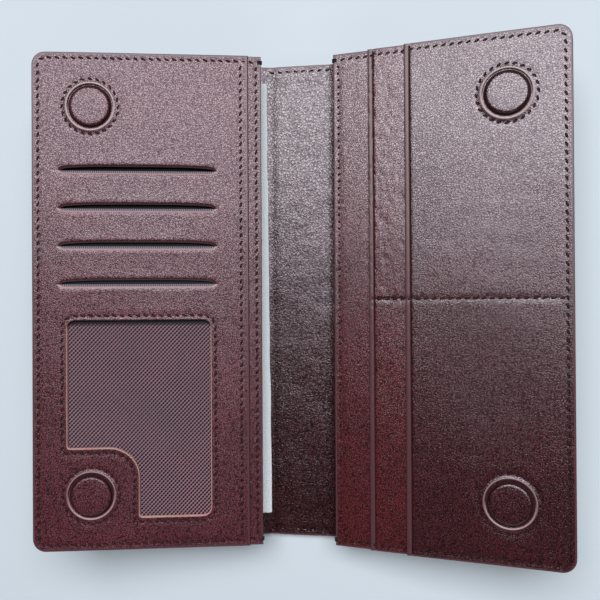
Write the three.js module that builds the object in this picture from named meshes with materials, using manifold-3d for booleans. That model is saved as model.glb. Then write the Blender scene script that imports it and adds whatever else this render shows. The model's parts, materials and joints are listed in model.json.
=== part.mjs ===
// Long wallet, lying open on its spine with both halves raised.
// Millimetres, +Z up. The origin is the middle of the spine's outer face, on the table.
// +X runs from the spine to the right half, +Y along the wallet's long side.
import * as THREE from "three";
import { mergeVertices } from "three/addons/utils/BufferGeometryUtils.js";
import Module from "manifold-3d";

// ---- Driving dimensions -------------------------------------------------------------

const LENGTH = 190; // of every full-length layer, along Y
const LEFT_WIDTH = 87; // left block, fold edge to outer edge
const RIGHT_WIDTH = 86; // right block, fold edge to outer edge
const SPINE_WIDTH = 24; // between the two fold lines
const FOLD_MARGIN = 4.8; // from a fold line to the block's fold edge
const CORNER_RADIUS = 5; // outer corners of the cover and the panels

const LEFT_RAISE = 17.5; // degrees that the left half stands above the table
const RIGHT_RAISE = 14.8; // degrees that the right half stands above the table
const LEFT_WEDGE = 5.4; // degrees between the left block and its cover
const RIGHT_WEDGE = 4.9; // degrees between the right block and its cover

const PLY_GAP = 0.1; // air between two layers that lie on each other
const FOLD_GAP = 0.15; // half the slit between two cover pieces at a fold line

const COVER_LEATHER = 1.1;
const STIFFENER_BOARD = 0.5;
const COVER_LINING = 0.7;
const STIFFENER_MARGIN = 4; // the board stops this far inside the leather
const COVER_THICKNESS = COVER_LEATHER + STIFFENER_BOARD + COVER_LINING + 2 * PLY_GAP;

// Left block, from its underside up
const BACK_LEATHER = 0.8;
const TWILL = 0.2; // lining cloth
const MESH_CLOTH = 0.2; // window mesh
const CARD_LEATHER = 1.0;
const POCKET_COUNT = 4;

// Right block, from its underside up
const BASE_LEATHER = 1.1;
const POCKET_LEATHER = 0.9;

// Features of the left block. "In" is the distance from the fold edge.
const CARD_PANEL_IN = 5; // the card panel's own edge
const BACK_SHELF = 10; // width of the back panel's raised shelf under that edge
const BACK_SLOPE = 4; // width over which the shelf drops to the block's underside
const SLOT_IN = 18.2;
const SLOT_OUT = 76.5;
const SLOT_OPENING = 1.3;
const SLOT_TOP_Y = 49.8;
const SLOT_PITCH = 14.5;
const POCKET_DEPTH = 68;
const POCKET_HEADROOM = 3; // of a pocket's cloth above its slot
const POCKET_MARGIN = 2; // of a pocket's cloth beside its slot
const BACKING_IN = 16;
const BACKING_MARGIN = 4;

const WINDOW_IN = 20;
const WINDOW_OUT = 74;
const WINDOW_TOP_Y = -7.8;
const WINDOW_BOTTOM_Y = -82.5;
const WINDOW_RADIUS = 3;
const TAB_IN = 47; // the leather tab that steps into the window's lower outer corner
const TAB_TOP_Y = -56;
const TAB_RADIUS = 11.5;
const MESH_MARGIN = 3; // of the mesh behind the window's edge

// Features of the right block
const POCKET_1_IN = 13.8;
const POCKET_2_IN = 27.7;

// Snaps: a disc in a round cut-out, under a leather cap
const LEFT_SNAP_IN = 65.2;
const LEFT_SNAP_Y = 74.2;
const RIGHT_SNAP_IN = 64.2;
const RIGHT_SNAP_Y = 72.8;
const SNAP_HOLE_RADIUS = 9;
const SNAP_CAP_RADIUS = 8.6;
const SNAP_CAP_LEATHER = 0.6;
const SNAP_CAP_RISE = 0.2; // dome of the cap
const SNAP_DISC_RADIUS = 7;
const SNAP_DISC_PROUD = 0.1; // of the disc above the panel
const KEEPER_THICKNESS = 0.95;
const MAGNET_THICKNESS = 2.2;

// Seams: a low ridge of thread
const SEAM_WIDTH = 0.6;
const SEAM_HEIGHT = 0.3;
const SEAM_INSET = 2.3; // from an outer edge
const FOLD_SEAM_IN = 2; // from a block's fold edge
const CARD_SEAM_IN = 8; // row beside the card panel's edge
const WINDOW_SEAM_OFFSET = 2; // outside the window's edge
const SNAP_SEAM_RADIUS = 10.6;
const SEAM_END_GAP = 1.2; // where one row stops short of the row it meets

// Loose packing sheet in the left bill compartment
const SHEET_LENGTH = 175.2;
const SHEET_WIDTH = 75;
const SHEET_THICKNESS = 1.0;
const SHEET_Y = 0.9;
const SHEET_TURN = 0.45; // degrees
const SHEET_HINGE_GAP = 0.8; // from its inner edge's middle to the fold line

const CURVE_STEPS = 8; // straight pieces in a quarter turn
const RING_STEPS = 40; // straight pieces round a snap

// ---- Materials ----------------------------------------------------------------------

const finish = (color, roughness, metalness = 0) =>
  new THREE.MeshStandardMaterial({ color, roughness, metalness });

const materials = {
  leather: finish(0x5b3436, 0.5),
  liningLeather: finish(0x4a2a2c, 0.6),
  twill: finish(0x3d3a44, 0.8),
  mesh: finish(0x56404a, 0.7),
  thread: finish(0x2a1517, 0.6),
  board: finish(0x8a7a66, 0.9),
  steel: finish(0x9a9a9c, 0.35, 1),
  packing: finish(0xdfe6ee, 0.9),
};

// ---- Geometry helpers ---------------------------------------------------------------

const wasm = await Module();
wasm.setup();

/** The closed solid of a three.js geometry. */
function toSolid(geometry) {
  const bare = geometry.clone();
  bare.deleteAttribute("normal");
  bare.deleteAttribute("uv");
  const merged = mergeVertices(bare, 1e-4);
  const vertProperties = new Float32Array(merged.attributes.position.array);
  const triVerts = new Uint32Array(merged.index.array);
  return new wasm.Manifold(new wasm.Mesh({ numProp: 3, vertProperties, triVerts }));
}

/** A three.js geometry of a closed solid. */
function toGeometry(solid) {
  const { vertProperties, triVerts } = solid.getMesh();
  const geometry = new THREE.BufferGeometry();
  geometry.setAttribute("position", new THREE.BufferAttribute(vertProperties, 3));
  geometry.setIndex(new THREE.BufferAttribute(triVerts, 1));
  geometry.computeVertexNormals();
  return geometry;
}

/** A flat layer: an outline in XY, from height z up by its thickness. */
function layer(shape, z, thickness) {
  const options = { depth: thickness, bevelEnabled: false, curveSegments: CURVE_STEPS };
  return new THREE.ExtrudeGeometry(shape, options).translate(0, 0, z);
}

/** A box from one corner to the other. */
function boxBetween([x0, y0, z0], [x1, y1, z1]) {
  const size = [Math.abs(x1 - x0), Math.abs(y1 - y0), Math.abs(z1 - z0)];
  return new THREE.BoxGeometry(...size).translate((x0 + x1) / 2, (y0 + y1) / 2, (z0 + z1) / 2);
}

/** A turned solid about Z at (x, y), from a closed profile of [radius, height] points. */
function turned(profile, x, y) {
  const points = profile.map(([radius, height]) => new THREE.Vector2(radius, height));
  return new THREE.LatheGeometry(points, RING_STEPS).rotateX(Math.PI / 2).translate(x, y, 0);
}

/** Adds one named mesh to a group. */
function addPart(group, name, geometry, material) {
  const mesh = new THREE.Mesh(geometry, material);
  mesh.name = name;
  group.add(mesh);
}

/** A corner for outline(): a point with the radius that rounds it. */
const corner = (x, y, radius = 0) => ({ at: new THREE.Vector2(x, y), radius });

/** The points of a closed outline through square corners, each rounded by its own radius. */
function outline(corners) {
  return corners.flatMap(({ at, radius }, index) => {
    if (radius === 0) {
      return [at];
    }
    const toBefore = corners.at(index - 1).at.clone().sub(at).normalize();
    const toAfter = corners[(index + 1) % corners.length].at.clone().sub(at).normalize();
    return Array.from({ length: CURVE_STEPS + 1 }, (_, step) => {
      const turn = ((step / CURVE_STEPS) * Math.PI) / 2;
      const alongBefore = radius * (1 - Math.sin(turn));
      const alongAfter = radius * (1 - Math.cos(turn));
      return at.clone().addScaledVector(toBefore, alongBefore).addScaledVector(toAfter, alongAfter);
    });
  });
}

/** A full-length leaf from x0 to x1, with round corners on its x1 side. */
function leaf(x0, x1, radius = CORNER_RADIUS, length = LENGTH) {
  const y = length / 2;
  const corners = [corner(x0, -y), corner(x1, -y, radius), corner(x1, y, radius), corner(x0, y)];
  return new THREE.Shape(outline(corners));
}

/** A circle as a hole. */
function roundHole(x, y, radius) {
  const points = Array.from({ length: RING_STEPS }, (_, step) => {
    const turn = (2 * Math.PI * step) / RING_STEPS;
    return new THREE.Vector2(x + radius * Math.cos(turn), y + radius * Math.sin(turn));
  });
  return new THREE.Path(points);
}

/** The window's outline, grown outwards by a margin. Its tab steps in at the lower outer corner. */
function windowOutline(grow) {
  const inner = -(WINDOW_IN - grow);
  const outer = -(WINDOW_OUT + grow);
  const top = WINDOW_TOP_Y + grow;
  const bottom = WINDOW_BOTTOM_Y - grow;
  const radius = WINDOW_RADIUS + grow;
  const tabX = -(TAB_IN + grow);
  const tabY = TAB_TOP_Y - grow;
  return outline([
    corner(inner, top, radius),
    corner(outer, top, radius),
    corner(outer, tabY, 1),
    corner(tabX, tabY, TAB_RADIUS - grow),
    corner(tabX, bottom, 1),
    corner(inner, bottom, radius),
  ]);
}

// ---- Seams --------------------------------------------------------------------------

/** A straight ridge of thread along X or Y, lying on a panel whose top is at z. */
function seamBar(x0, x1, y0, y1, z) {
  return boxBetween([x0, y0, z + PLY_GAP], [x1, y1, z + PLY_GAP + SEAM_HEIGHT]);
}

/** A ring of thread round a snap. */
function seamRing(x, y, z) {
  const low = z + PLY_GAP;
  const high = low + SEAM_HEIGHT;
  const inside = SNAP_SEAM_RADIUS - SEAM_WIDTH / 2;
  const outside = SNAP_SEAM_RADIUS + SEAM_WIDTH / 2;
  const profile = [[inside, low], [outside, low], [outside, high], [inside, high], [inside, low]];
  return turned(profile, x, y);
}

/**
 * A row of thread that climbs the steps of a block: along y, from the lowest step outwards.
 * Each step is { from, z }: the distance from the fold edge where it starts, and its top.
 */
function steppedRow(side, y, steps, end) {
  const half = SEAM_WIDTH / 2;
  const solids = steps.map(({ from, z }, index) => {
    const next = steps[index + 1];
    const start = index === 0 ? from + SEAM_WIDTH : from - 2 * SEAM_WIDTH;
    const stop = next ? next.from - SEAM_WIDTH / 2 : end;
    return toSolid(seamBar(side * start, side * stop, y - half, y + half, z));
  });
  const risers = steps.slice(1).map(({ from, z }, index) => {
    const low = steps[index].z + PLY_GAP;
    const high = z + PLY_GAP + SEAM_HEIGHT;
    const foot = [side * (from - 2 * SEAM_WIDTH), y - half, low];
    const head = [side * (from - SEAM_WIDTH / 2), y + half, high];
    return toSolid(boxBetween(foot, head));
  });
  return [...solids, ...risers].reduce((whole, piece) => whole.add(piece));
}

/** The perimeter seam of a block: up its outer edge and along both ends, over the steps. */
function perimeterSeam(side, width, steps) {
  const top = steps.at(-1);
  const turn = width - SEAM_INSET - CORNER_RADIUS;
  const row = LENGTH / 2 - SEAM_INSET;
  const grow = SEAM_WIDTH / 2;
  const outerLeaf = leaf(side * turn, side * (width - SEAM_INSET + grow), CORNER_RADIUS - SEAM_INSET + grow,
    2 * (row + grow));
  const innerLeaf = leaf(side * (turn - 1), side * (width - SEAM_INSET - grow), CORNER_RADIUS - SEAM_INSET - grow,
    2 * (row - grow));
  const z = top.z + PLY_GAP;
  const outerSolid = toSolid(layer(outerLeaf, z, SEAM_HEIGHT));
  const innerSolid = toSolid(layer(innerLeaf, z - 1, SEAM_HEIGHT + 2));
  const rows = [row, -row].map((y) => steppedRow(side, y, steps, turn + 1));
  return toGeometry(outerSolid.subtract(innerSolid).add(rows[0]).add(rows[1]));
}

// ---- Cover: leather, board and lining -----------------------------------------------

/** The three layers of one half's cover, in the frame of its fold line. */
function addCoverHalf(group, side, width, suffix) {
  const inner = side * FOLD_GAP;
  const outer = side * (FOLD_MARGIN + width);
  const boardInner = side * STIFFENER_MARGIN;
  const boardOuter = outer - side * STIFFENER_MARGIN;
  const boardLength = LENGTH - 2 * STIFFENER_MARGIN;
  const leatherZ = -COVER_THICKNESS;
  const boardZ = leatherZ + COVER_LEATHER + PLY_GAP;
  const leather = layer(leaf(inner, outer), leatherZ, COVER_LEATHER);
  const board = layer(leaf(boardInner, boardOuter, 1, boardLength), boardZ, STIFFENER_BOARD);
  const lining = layer(leaf(inner, outer), -COVER_LINING, COVER_LINING);
  addPart(group, `outer_cover_${suffix}`, leather, materials.leather);
  addPart(group, `stiffener_${suffix}`, board, materials.board);
  addPart(group, `lining_${suffix}`, lining, materials.liningLeather);
}

/** The spine's cover, with a seam across each end of its lining. */
function addSpine(group) {
  const x = SPINE_WIDTH / 2 - FOLD_GAP;
  const boardX = SPINE_WIDTH / 2 - STIFFENER_MARGIN;
  const boardY = LENGTH / 2 - STIFFENER_MARGIN;
  const leatherZ = -COVER_THICKNESS;
  const boardZ = leatherZ + COVER_LEATHER + PLY_GAP;
  const y = LENGTH / 2;
  const leather = boxBetween([-x, -y, leatherZ], [x, y, leatherZ + COVER_LEATHER]);
  const board = boxBetween([-boardX, -boardY, boardZ], [boardX, boardY, boardZ + STIFFENER_BOARD]);
  const lining = boxBetween([-x, -y, -COVER_LINING], [x, y, 0]);
  addPart(group, "outer_cover_spine", leather, materials.leather);
  addPart(group, "stiffener_spine", board, materials.board);
  addPart(group, "lining_spine", lining, materials.liningLeather);
  for (const [end, sign] of [["top", 1], ["bottom", -1]]) {
    const row = sign * (y - SEAM_INSET);
    const seam = seamBar(-x, x, row - SEAM_WIDTH / 2, row + SEAM_WIDTH / 2, 0);
    addPart(group, `seam_spine_${end}`, seam, materials.thread);
  }
}

// ---- Snaps --------------------------------------------------------------------------

/** One snap in a panel whose top is at z: its disc, its leather cap and its ring of thread. */
function addSnap(group, { discName, capName, seamName, x, y, z, discThickness }) {
  const discTop = z + SNAP_DISC_PROUD;
  const discLow = discTop - discThickness;
  const disc = turned([[0, discLow], [SNAP_DISC_RADIUS, discLow], [SNAP_DISC_RADIUS, discTop], [0, discTop]], x, y);
  const ceiling = discTop + PLY_GAP;
  const inside = SNAP_DISC_RADIUS + PLY_GAP;
  const skirt = z - KEEPER_THICKNESS + SNAP_DISC_PROUD;
  const shoulder = ceiling + SNAP_CAP_LEATHER / 2;
  const cap = turned(
    [
      [0, ceiling],
      [inside, ceiling],
      [inside, skirt],
      [SNAP_CAP_RADIUS, skirt],
      [SNAP_CAP_RADIUS, shoulder],
      [SNAP_CAP_RADIUS - SNAP_CAP_LEATHER, ceiling + SNAP_CAP_LEATHER],
      [0, ceiling + SNAP_CAP_LEATHER + SNAP_CAP_RISE],
    ],
    x,
    y,
  );
  addPart(group, discName, disc, materials.steel);
  addPart(group, capName, cap, materials.leather);
  addPart(group, seamName, seamRing(x, y, z), materials.thread);
}

// ---- Left block: card slots and window ----------------------------------------------

const backingZ = BACK_LEATHER + PLY_GAP;
const firstPocketZ = backingZ + TWILL + PLY_GAP;
const meshZ = firstPocketZ + POCKET_COUNT * (TWILL + PLY_GAP);
const cardPanelZ = meshZ + MESH_CLOTH + PLY_GAP;
const cardPanelTop = cardPanelZ + CARD_LEATHER;
const shelfTop = cardPanelZ - PLY_GAP;

/** The back panel: flat under the pockets, raised to a shelf under the card panel's edge. */
function backPanelGeometry() {
  const shelfLow = shelfTop - BACK_LEATHER;
  const slopeIn = BACK_SHELF + BACK_SLOPE;
  const profile = new THREE.Shape(outline([
    corner(0, shelfLow),
    corner(-BACK_SHELF, shelfLow),
    corner(-slopeIn, 0),
    corner(-LEFT_WIDTH, 0),
    corner(-LEFT_WIDTH, BACK_LEATHER),
    corner(-slopeIn - 0.4, BACK_LEATHER),
    corner(-BACK_SHELF - 0.4, shelfTop),
    corner(0, shelfTop),
  ]));
  const options = { depth: LENGTH, bevelEnabled: false };
  const ribbon = new THREE.ExtrudeGeometry(profile, options).rotateX(Math.PI / 2).translate(0, LENGTH / 2, 0);
  const outlineSolid = toSolid(layer(leaf(1, -LEFT_WIDTH), -1, cardPanelTop + 2));
  return toGeometry(toSolid(ribbon).intersect(outlineSolid));
}

/** The card panel: one piece of leather with the slots, the window and the snaps' cut-outs. */
function cardPanelGeometry() {
  const shape = leaf(-CARD_PANEL_IN, -LEFT_WIDTH);
  shape.holes = slotHeights().map((y) => {
    const low = y - SLOT_OPENING / 2;
    const high = y + SLOT_OPENING / 2;
    const radius = SLOT_OPENING / 2 - 0.05;
    const corners = [
      corner(-SLOT_IN, low, radius),
      corner(-SLOT_IN, high, radius),
      corner(-SLOT_OUT, high, radius),
      corner(-SLOT_OUT, low, radius),
    ];
    return new THREE.Path(outline(corners));
  });
  shape.holes.push(new THREE.Path(windowOutline(0)));
  for (const y of [LEFT_SNAP_Y, -LEFT_SNAP_Y]) {
    shape.holes.push(roundHole(-LEFT_SNAP_IN, y, SNAP_HOLE_RADIUS));
  }
  return layer(shape, cardPanelZ, CARD_LEATHER);
}

/** The height along Y of each card slot, from the top. */
function slotHeights() {
  return Array.from({ length: POCKET_COUNT }, (_, index) => SLOT_TOP_Y - index * SLOT_PITCH);
}

/** The cloth of one card pocket, hanging behind its slot. The top slot's cloth lies deepest. */
function cardPocketGeometry(slotY, index) {
  const z = firstPocketZ + index * (TWILL + PLY_GAP);
  const top = slotY + POCKET_HEADROOM;
  const low = [-(SLOT_OUT + POCKET_MARGIN), top - POCKET_DEPTH, z];
  const high = [-(SLOT_IN - POCKET_MARGIN), top, z + TWILL];
  return boxBetween(low, high);
}

/** The closed row of thread round the window. */
function windowSeamGeometry() {
  const shape = new THREE.Shape(windowOutline(WINDOW_SEAM_OFFSET + SEAM_WIDTH / 2));
  shape.holes = [new THREE.Path(windowOutline(WINDOW_SEAM_OFFSET - SEAM_WIDTH / 2))];
  return layer(shape, cardPanelTop + PLY_GAP, SEAM_HEIGHT);
}

function addLeftBlock(group) {
  const { leather, twill, mesh, thread } = materials;
  const backing = boxBetween(
    [-(LEFT_WIDTH - BACKING_MARGIN), -(LENGTH / 2 - BACKING_MARGIN), backingZ],
    [-BACKING_IN, LENGTH / 2 - BACKING_MARGIN, backingZ + TWILL],
  );
  addPart(group, "back_panel_left", backPanelGeometry(), leather);
  addPart(group, "backing_lining_left", backing, twill);
  slotHeights().forEach((y, index) => {
    addPart(group, `card_pocket_${index + 1}`, cardPocketGeometry(y, index), twill);
  });
  const meshCloth = layer(new THREE.Shape(windowOutline(MESH_MARGIN)), meshZ, MESH_CLOTH);
  addPart(group, "window_mesh", meshCloth, mesh);
  addPart(group, "card_panel_left", cardPanelGeometry(), leather);

  for (const [end, sign] of [["top", 1], ["bottom", -1]]) {
    addSnap(group, {
      discName: `magnet_left_${end}`,
      capName: `snap_cap_left_${end}`,
      seamName: `seam_snap_left_${end}`,
      x: -LEFT_SNAP_IN,
      y: sign * LEFT_SNAP_Y,
      z: cardPanelTop,
      discThickness: MAGNET_THICKNESS,
    });
  }

  const steps = [{ from: 0, z: shelfTop }, { from: CARD_PANEL_IN, z: cardPanelTop }];
  const rowEnd = LENGTH / 2 - SEAM_INSET - SEAM_END_GAP;
  const half = SEAM_WIDTH / 2;
  const foldRow = seamBar(-FOLD_SEAM_IN - half, -FOLD_SEAM_IN + half, -rowEnd, rowEnd, shelfTop);
  const cardRow = seamBar(-CARD_SEAM_IN - half, -CARD_SEAM_IN + half, -rowEnd, rowEnd, cardPanelTop);
  addPart(group, "seam_perimeter_left", perimeterSeam(-1, LEFT_WIDTH, steps), thread);
  addPart(group, "seam_fold_edge_left", foldRow, thread);
  addPart(group, "seam_card_panel_edge", cardRow, thread);
  addPart(group, "seam_window", windowSeamGeometry(), thread);
}

// ---- Right block: two pocket layers on a base ---------------------------------------

const pocket1Z = BASE_LEATHER + PLY_GAP;
const pocket1Top = pocket1Z + POCKET_LEATHER;
const pocket2Z = pocket1Top + PLY_GAP;
const pocket2Top = pocket2Z + POCKET_LEATHER;

function addRightBlock(group) {
  const { leather, thread } = materials;
  const upper = leaf(POCKET_2_IN, RIGHT_WIDTH);
  for (const y of [RIGHT_SNAP_Y, -RIGHT_SNAP_Y]) {
    upper.holes.push(roundHole(RIGHT_SNAP_IN, y, SNAP_HOLE_RADIUS));
  }
  addPart(group, "base_panel_right", layer(leaf(0, RIGHT_WIDTH), 0, BASE_LEATHER), leather);
  addPart(group, "pocket_layer_1", layer(leaf(POCKET_1_IN, RIGHT_WIDTH), pocket1Z, POCKET_LEATHER), leather);
  addPart(group, "pocket_layer_2", layer(upper, pocket2Z, POCKET_LEATHER), leather);

  for (const [end, sign] of [["top", 1], ["bottom", -1]]) {
    addSnap(group, {
      discName: `keeper_right_${end}`,
      capName: `snap_cap_right_${end}`,
      seamName: `seam_snap_right_${end}`,
      x: RIGHT_SNAP_IN,
      y: sign * RIGHT_SNAP_Y,
      z: pocket2Top,
      discThickness: KEEPER_THICKNESS,
    });
  }

  const steps = [
    { from: 0, z: BASE_LEATHER },
    { from: POCKET_1_IN, z: pocket1Top },
    { from: POCKET_2_IN, z: pocket2Top },
  ];
  const dividerSteps = [{ from: POCKET_1_IN, z: pocket1Top }, steps[2]];
  const dividerEnd = RIGHT_WIDTH - SEAM_INSET - SEAM_END_GAP;
  const rowEnd = LENGTH / 2 - SEAM_INSET - SEAM_END_GAP;
  const half = SEAM_WIDTH / 2;
  const foldRow = seamBar(FOLD_SEAM_IN - half, FOLD_SEAM_IN + half, -rowEnd, rowEnd, BASE_LEATHER);
  const divider = toGeometry(steppedRow(1, 0, dividerSteps, dividerEnd));
  addPart(group, "seam_perimeter_right", perimeterSeam(1, RIGHT_WIDTH, steps), thread);
  addPart(group, "seam_fold_edge_right", foldRow, thread);
  addPart(group, "seam_divider", divider, thread);
}

// ---- Assembly -----------------------------------------------------------------------

const radians = THREE.MathUtils.degToRad;

/** The frame of one half: on its fold line, at the top of the lining, turned up by its angle. */
function halfFrame(side, raise) {
  const frame = new THREE.Group();
  frame.position.set((side * SPINE_WIDTH) / 2, 0, COVER_THICKNESS);
  frame.rotation.y = -side * radians(raise);
  return frame;
}

/** The frame of a block: at its fold edge's foot, leaning down to the cover's outer edge. */
function blockFrame(side, width, wedge) {
  const frame = new THREE.Group();
  const foldHeight = width * Math.sin(radians(wedge)) + 2 * PLY_GAP;
  frame.position.set(side * FOLD_MARGIN, 0, foldHeight);
  frame.rotation.y = side * radians(wedge);
  return frame;
}

/** The packing sheet, lying on the left lining and peeping out past the block's fold edge. */
function packingSheet() {
  const frame = new THREE.Group();
  const sheet = boxBetween(
    [-SHEET_WIDTH, -SHEET_LENGTH / 2, 0],
    [0, SHEET_LENGTH / 2, SHEET_THICKNESS],
  );
  addPart(frame, "packing_sheet", sheet, materials.packing);
  frame.position.set(-SHEET_HINGE_GAP, SHEET_Y, PLY_GAP);
  frame.rotation.z = radians(SHEET_TURN);
  return frame;
}

const wallet = new THREE.Group();

const spine = new THREE.Group();
spine.position.z = COVER_THICKNESS;
addSpine(spine);
wallet.add(spine);

const leftHalf = halfFrame(-1, LEFT_RAISE);
addCoverHalf(leftHalf, -1, LEFT_WIDTH, "left");
const leftBlock = blockFrame(-1, LEFT_WIDTH, LEFT_WEDGE);
addLeftBlock(leftBlock);
leftHalf.add(leftBlock);
leftHalf.add(packingSheet());
wallet.add(leftHalf);

const rightHalf = halfFrame(1, RIGHT_RAISE);
addCoverHalf(rightHalf, 1, RIGHT_WIDTH, "right");
const rightBlock = blockFrame(1, RIGHT_WIDTH, RIGHT_WEDGE);
addRightBlock(rightBlock);
rightHalf.add(rightBlock);
wallet.add(rightHalf);

export default wallet;
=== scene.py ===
"""A long wallet lying half open: its leather, cloth and thread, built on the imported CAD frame.

Flat work is done in millimetres: x across a half from its fold, y along the wallet and z out of
the leather. A placing function then sets those points into the model's frame, in metres.
"""

import json
import math

import bmesh
import bpy
import numpy as np
from mathutils import Matrix, Vector, kdtree
from mathutils.geometry import delaunay_2d_cdt


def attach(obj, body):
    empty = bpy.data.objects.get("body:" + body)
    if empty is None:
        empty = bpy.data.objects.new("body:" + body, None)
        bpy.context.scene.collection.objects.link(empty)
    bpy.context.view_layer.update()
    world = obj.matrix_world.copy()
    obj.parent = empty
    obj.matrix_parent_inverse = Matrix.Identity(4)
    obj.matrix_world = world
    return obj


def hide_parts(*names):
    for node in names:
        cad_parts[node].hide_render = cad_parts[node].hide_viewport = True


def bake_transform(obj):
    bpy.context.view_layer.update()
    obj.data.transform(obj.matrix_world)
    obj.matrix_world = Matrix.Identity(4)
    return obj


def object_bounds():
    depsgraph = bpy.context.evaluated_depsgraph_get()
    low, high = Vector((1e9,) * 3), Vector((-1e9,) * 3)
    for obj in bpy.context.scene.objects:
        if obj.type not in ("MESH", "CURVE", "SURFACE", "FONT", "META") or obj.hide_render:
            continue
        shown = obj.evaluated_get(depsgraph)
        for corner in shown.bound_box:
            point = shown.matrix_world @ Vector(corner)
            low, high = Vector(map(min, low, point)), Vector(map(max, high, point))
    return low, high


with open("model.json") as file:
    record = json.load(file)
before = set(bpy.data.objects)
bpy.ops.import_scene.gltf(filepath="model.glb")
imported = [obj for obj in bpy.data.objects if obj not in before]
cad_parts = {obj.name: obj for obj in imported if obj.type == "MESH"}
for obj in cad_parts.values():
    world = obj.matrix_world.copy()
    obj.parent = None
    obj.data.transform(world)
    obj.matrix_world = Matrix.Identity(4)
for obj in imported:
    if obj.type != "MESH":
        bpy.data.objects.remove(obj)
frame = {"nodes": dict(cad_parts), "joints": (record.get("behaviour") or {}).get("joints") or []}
CAD_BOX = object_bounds()
MM = 0.001

# ---- Driving sizes, in millimetres --------------------------------------------------

FOLD_MARGIN = 4.8  # from a fold line to the block's fold edge
WEDGE = {"left": 5.4, "right": 4.9}  # degrees between a block and its cover
BLOCK_LIFT = 0.2  # of a block's outer edge above the lining
CORNER = 5.0  # radius of the outer corners
SEAM_INSET = 2.3  # of the perimeter stitching
STITCH_PITCH = 2.95
FOLD_PITCH = 2.6  # of the row beside the right block's fold edge
SPINE_PITCH = 2.9  # of the rows across the spine's ends
RING_STITCHES = 24
CREASE_INSET = 1.95  # from a pocket's edge to its crease
CREASE_HALF = 0.21  # half the width of the crease's line of painted shade
BEND = 3.0  # half the width of leather that bends at a fold

SLOT_HEADROOM = 3.0  # pocket cloth above its slot
SLOT_SIDE = 2.0  # pocket cloth beside its slot
SLOT_OPENING = 1.35  # height of a slot between its lips
SLOT_ARCH = 0.8  # rise of a slot's upper lip

MESH_MARGIN = 3.0  # mesh cloth behind the window's edge
MESH_ACROSS = 1.50  # spacing of the mesh's openings along a row
MESH_ROW = 0.79  # spacing of its rows
MESH_GAP = 0.6  # from the window's top edge down to the mesh pocket's open mouth
WINDOW_RADIUS = 3.0
TAB_IN = 47.0  # the tab in the window's lower outer corner
TAB_TOP = -56.0
TAB_RADIUS = 11.5
WINDOW_SEAM = 2.0  # window stitching outside its edge
SNAP_HOLE = 8.45  # radius of a snap's cut-out
SNAP_SEAM = 10.6  # radius of its ring of stitches

GRID = 1.15  # spacing of a visible surface's points
COARSE = 7.0  # spacing where another layer covers it
EDGE_CLEARANCE = 0.3  # from an edge's last ring to the first free point
BACK_CLEARANCE = 3.0  # from an edge to the first free point of a sparse back

STITCH_WIDE = 0.42  # half the width of a stitch hole
STITCH_SINK = 0.55  # depth of a stitch's ends
STITCH_POINTS = 9
HOLE_RINGS = ((1.15, 0.0), (0.85, 0.45))  # a stitch hole's rings: share of its size, and depth
HOLE_DEPTH = 0.65
ROW_START = 0.9  # from a fold edge to the perimeter row's first stitch
WRAP_OUT = 0.35  # the thread wound over a fold edge stands out by this
STEP_BACK = 0.3  # a seam's height steps up this far behind a leaf's edge
ROW_END = 2.6  # from the perimeter row to the end of a straight row
THREAD_RADIUS = 0.22
THREAD_SIDES = 7
THREAD_TWIST = 1.3  # turns of the two strands along a stitch
THREAD_OUTSIDE = 0.15  # depth in the cover of the seam's outer thread
ROUND_SIDES = 72
CLOTH_STEP = 4.0

# ---- Places -------------------------------------------------------------------------

SIDE = {"left": -1, "right": 1}
JOINT = {joint["child"]: joint for joint in frame["joints"]}


def placing(origin, across, out):
    """A function that sets flat points, in millimetres, on a plane in the model's frame."""
    axes = np.array([across, (0.0, 1.0, 0.0), out]) * MM
    return lambda points: np.asarray(origin) + np.asarray(points, float) @ axes


def half_axes(half):
    """The fold point, and the directions across and out of one half as it lies at rest."""
    joint = JOINT[f"{half}_half"]
    raised = math.radians(-joint["range_deg"][0])
    side = SIDE[half]
    across = np.array([side * math.cos(raised), 0, math.sin(raised)])
    out = np.array([-side * math.sin(raised), 0, math.cos(raised)])
    return np.array(joint["pos_m"], float), across, out


def half_place(half):
    return placing(*half_axes(half))


def spine_place(half):
    """The spine's plane, with x counted outwards from one of its fold lines."""
    return placing(half_axes(half)[0], np.array([SIDE[half], 0, 0]), np.array([0, 0, 1]))


def fold_place(half):
    """Leather that turns smoothly from the spine's plane into a half's plane."""
    on_spine, on_half = spine_place(half), half_place(half)

    def put(points):
        points = np.asarray(points, float)
        share = smooth(points[:, :1], -BEND, BEND)
        return (1 - share) * on_spine(points) + share * on_half(points)

    return put


def block_place(half):
    """The plane of a block's underside, with x counted from its fold edge."""
    fold, across, out = half_axes(half)
    wedge = math.radians(WEDGE[half])
    lift = BLOCK_WIDTH[half] * math.sin(wedge) + BLOCK_LIFT
    origin = fold + (FOLD_MARGIN * across + lift * out) * MM
    tilted = math.cos(wedge) * across - math.sin(wedge) * out
    normal = math.sin(wedge) * across + math.cos(wedge) * out
    return placing(origin, tilted, normal)


def smooth(value, low, high):
    """A smooth step from 0 at low to 1 at high."""
    share = np.clip((value - low) / (high - low), 0, 1)
    return share * share * (3 - 2 * share)


def flat_points(node, place):
    """The points of a CAD node, in a place's flat coordinates in millimetres."""
    base = place(np.zeros((1, 3)))[0]
    axes = place(np.eye(3)) - base
    mesh = frame["nodes"][node].data
    points = np.empty(len(mesh.vertices) * 3)
    mesh.vertices.foreach_get("co", points)
    return (points.reshape(-1, 3) - base) @ np.linalg.inv(axes)


def extent(node, place):
    """The lowest and highest flat coordinates of a CAD node."""
    flat = flat_points(node, place)
    return flat.min(axis=0), flat.max(axis=0)


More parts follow.
